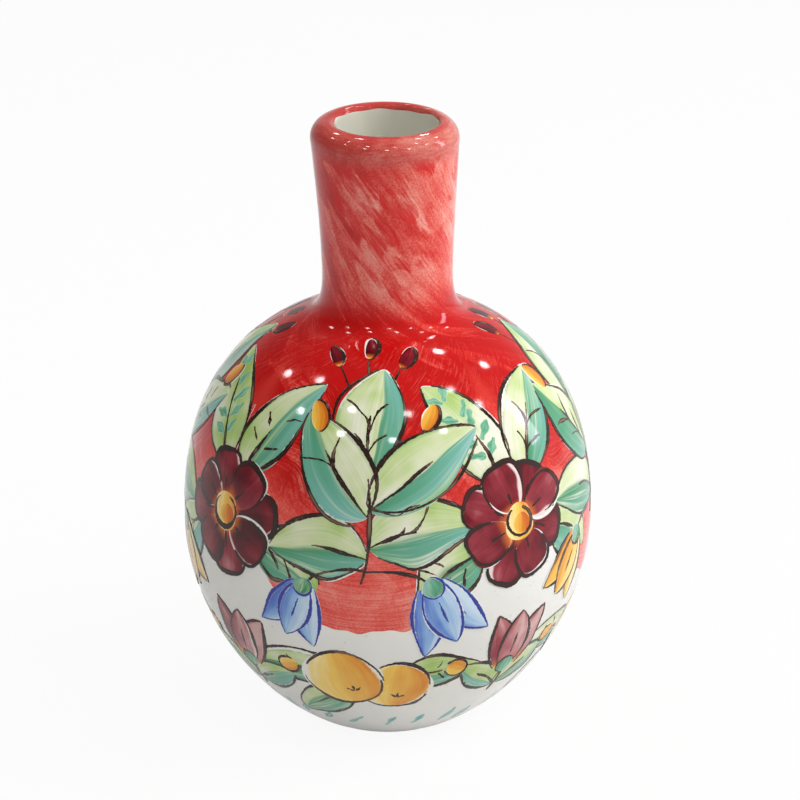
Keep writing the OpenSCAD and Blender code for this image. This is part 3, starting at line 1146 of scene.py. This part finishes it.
def white_coat(material):
    outside = path(skin, 0, skin.level(WHITE_TOP_Z), SIDE_ROWS)
    inside = path(under, 0, under.level(WHITE_TOP_Z), SIDE_ROWS)
    return turned("white_coat", np.concatenate([outside, inside[::-1]]), material)


def lining(material):
    """The glaze inside, from the lip's crest down the bore and over the floor."""
    seen = path(skin, skin.crest, skin.along[-1], 40)
    bore = evened([[BORE_R, seen[-1, 1] - 1], [BORE_R, BORE_END_Z]], INSIDE_STEP)
    section = np.concatenate([
        [[0, FLOOR_Z + GLAZE_T]],
        cavity(CAVITY_INSET + GLAZE_T, FLOOR_Z + GLAZE_T, BORE_R),
        bore[::-1],
        seen[::-1],
        path(under, under.crest, under.along[-1], 12),
        [[CLAY_BORE_R, BORE_END_Z]],
        cavity(CAVITY_INSET, FLOOR_Z, CLAY_BORE_R)[::-1],
        [[0, FLOOR_Z]],
    ])
    return turned("lining", section, material, segments=240, closed=False)


def stands_for(piece, node):
    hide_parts(node)


white, bare = white_glaze(), clay()
stands_for(thrown_body(bare), "body")
stands_for(thrown_neck(bare), "neck")
stands_for(white_coat(white), "white_glaze")
stands_for(lining(lining_glaze()), "inner_glaze")
stands_for(red_ground(red_pigment()), "red_glaze")

# Pigment, tone and drawn line of the bellflowers, which change from lobe to lobe
BELLS = (("blue", 0.05, ("blue", 1.3)), ("ochre", 0.1, ("line", 0.5)))
for number in range(LOBES):
    lobe = FRONT_LOBE + number * LOBE_TURN
    cusp = lobe + LOBE_TURN / 2
    lobe_spray(lobe, *BELLS[number % len(BELLS)])
    cusp_rosette(cusp)
    fruit_spray(lobe)
    low_tulip(cusp)
foot_strokes()

PAINTS = {
    "reserve": ("white_reserves", white),
    "leaf": ("painted_leaves", leaf_paint()),
    "plum": ("plum_petals", plum_pigment()),
    "ochre": ("ochre_fruit", ochre_pigment()),
    "blue": ("blue_bells", blue_pigment()),
    "teal": ("teal_strokes", teal_pigment()),
    "line": ("drawn_lines", line_pigment()),
}
for name, (piece, material) in PAINTS.items():
    pigments[name].piece(piece, material)


# Floor, world, lamps and camera

FLOOR_HALF = 3.0
FLOOR_GREY = (0.74, 0.74, 0.74, 1)
FLOOR_WHITE = 0.93
# How white the floor shows in gloss, as a share of that
FLOOR_IN_GLOSS = 0.5
# The world's light on the bottle from its left and its right
WORLD_LEFT = 0.1
WORLD_RIGHT = 0.45
# The white seen in gloss fades upwards from the horizon to this sine of the angle above it
GLOSS_TOP = 0.5
# and is dimmer on the left
GLOSS_LEFT = 0.35


def stage_floor():
    """A white floor that keeps the shadow."""
    mesh = bpy.data.meshes.new("floor")
    corners = [(x * FLOOR_HALF, y * FLOOR_HALF, 0) for x, y in ((-1, -1), (1, -1), (1, 1), (-1, 1))]
    mesh.from_pydata(corners, [], [(0, 1, 2, 3)])
    floor = linked("floor", mesh)
    material = Material("floor")
    paper = material.node("BsdfDiffuse", {"Color": FLOOR_GREY})
    glow = material.node("Emission", {"Color": (1, 1, 1, 1), "Strength": 1.0})
    in_gloss = material.product(material.seen_by("Is Glossy Ray"), FLOOR_IN_GLOSS)
    seen = material.larger(material.seen_by("Is Camera Ray", "Is Transmission Ray"), in_gloss)
    shaders = {0: material.product(seen, FLOOR_WHITE), 1: paper.outputs[0], 2: glow.outputs[0]}
    mesh.materials.append(material.finished(material.node("MixShader", shaders)))


def stage_world():
    """White to the eye, and a soft light that comes more from the right."""
    world = bpy.data.worlds.new("studio")
    bpy.context.scene.world = world
    world.use_nodes = True
    nodes = Nodes(world.node_tree)
    sight = nodes.parts(nodes.node("TexCoord").outputs["Generated"])
    light = nodes.between(sight["X"], -1.0, 1.0, WORLD_LEFT, WORLD_RIGHT)
    level = nodes.between(sight["X"], -1.0, 1.0, GLOSS_LEFT, 1.0)
    wall = nodes.product(level, nodes.between(sight["Z"], GLOSS_TOP, 0.0))
    in_gloss = nodes.product(nodes.seen_by("Is Glossy Ray"), wall)
    white_share = nodes.larger(nodes.seen_by("Is Camera Ray", "Is Transmission Ray"), in_gloss)
    strength = nodes.blend(white_share, light, 1.0)
    background = nodes.node("Background", {"Color": (1, 1, 1, 1), "Strength": strength})
    nodes.node("OutputWorld", {"Surface": background.outputs[0]})


AIM = Vector((0, 0, 0.075))


def aimed(made, azimuth, elevation, distance):
    """Sets a lamp or a camera round the bottle, facing it. Azimuth 0 is the front and grows to the right."""
    a, e = math.radians(azimuth), math.radians(elevation)
    back = Vector((math.sin(a) * math.cos(e), -math.cos(a) * math.cos(e), math.sin(e)))
    made.location = AIM + back * distance
    made.rotation_euler = back.to_track_quat("Z", "Y").to_euler()


def lamp(name, azimuth, elevation, distance, size, watts, shape="ELLIPSE"):
    """An area lamp aimed at the bottle, with its size as width and height."""
    data = bpy.data.lights.new(name, "AREA")
    data.shape, data.energy = shape, watts
    data.size, data.size_y = size
    made = linked(name, data)
    aimed(made, azimuth, elevation, distance)
    return made


# Rings of ceiling lamps: how many, how high in degrees, and the azimuth of the first
CEILING = ((9, 44, 4), (6, 60, 22))
# Fills that don't show in gloss: azimuth, elevation and watts
FILLS = {"side_fill": (84, 38, 7), "top_fill": (40, 54, 2.8)}
WINDOW_TINT = (0.95, 0.86, 1.0)


def stage_lamps():
    """Two rings of small ceiling lamps, which show as points in the gloss, a window and soft fills."""
    for ring, (count, elevation, first) in enumerate(CEILING):
        for number in range(count):
            azimuth = first + 360 * number / count
            lamp(f"ceiling_{ring}_{number}", azimuth, elevation, distance=1.2, size=(0.09, 0.08), watts=0.65)
    window = lamp("window", 100, 22, distance=1.1, size=(0.16, 0.5), watts=2.4, shape="RECTANGLE")
    window.data.color = WINDOW_TINT
    for name, (azimuth, elevation, watts) in FILLS.items():
        fill = lamp(name, azimuth, elevation, distance=1.3, size=(0.7, 0.7), watts=watts)
        fill.visible_glossy = False


# The photograph's view, with the point aimed at off the middle of the image
CAMERA_DISTANCE = 0.8
CAMERA_ELEVATION = 22.63
SENSOR_WIDTH = 36.0
FOCAL_PIXELS = 3299.0
AIM_PIXEL = (387.6, 417.9)
IMAGE_PIXELS = 800


def stage_camera():
    data = bpy.data.cameras.new("camera")
    data.sensor_width = SENSOR_WIDTH
    data.lens = SENSOR_WIDTH * FOCAL_PIXELS / IMAGE_PIXELS
    data.shift_x = 0.5 - AIM_PIXEL[0] / IMAGE_PIXELS
    data.shift_y = AIM_PIXEL[1] / IMAGE_PIXELS - 0.5
    camera = linked("camera", data)
    aimed(camera, 0, CAMERA_ELEVATION, CAMERA_DISTANCE)
    bpy.context.scene.camera = camera


stage_floor()
stage_world()
stage_lamps()
stage_camera()
bpy.context.scene.view_settings.view_transform = "Standard"
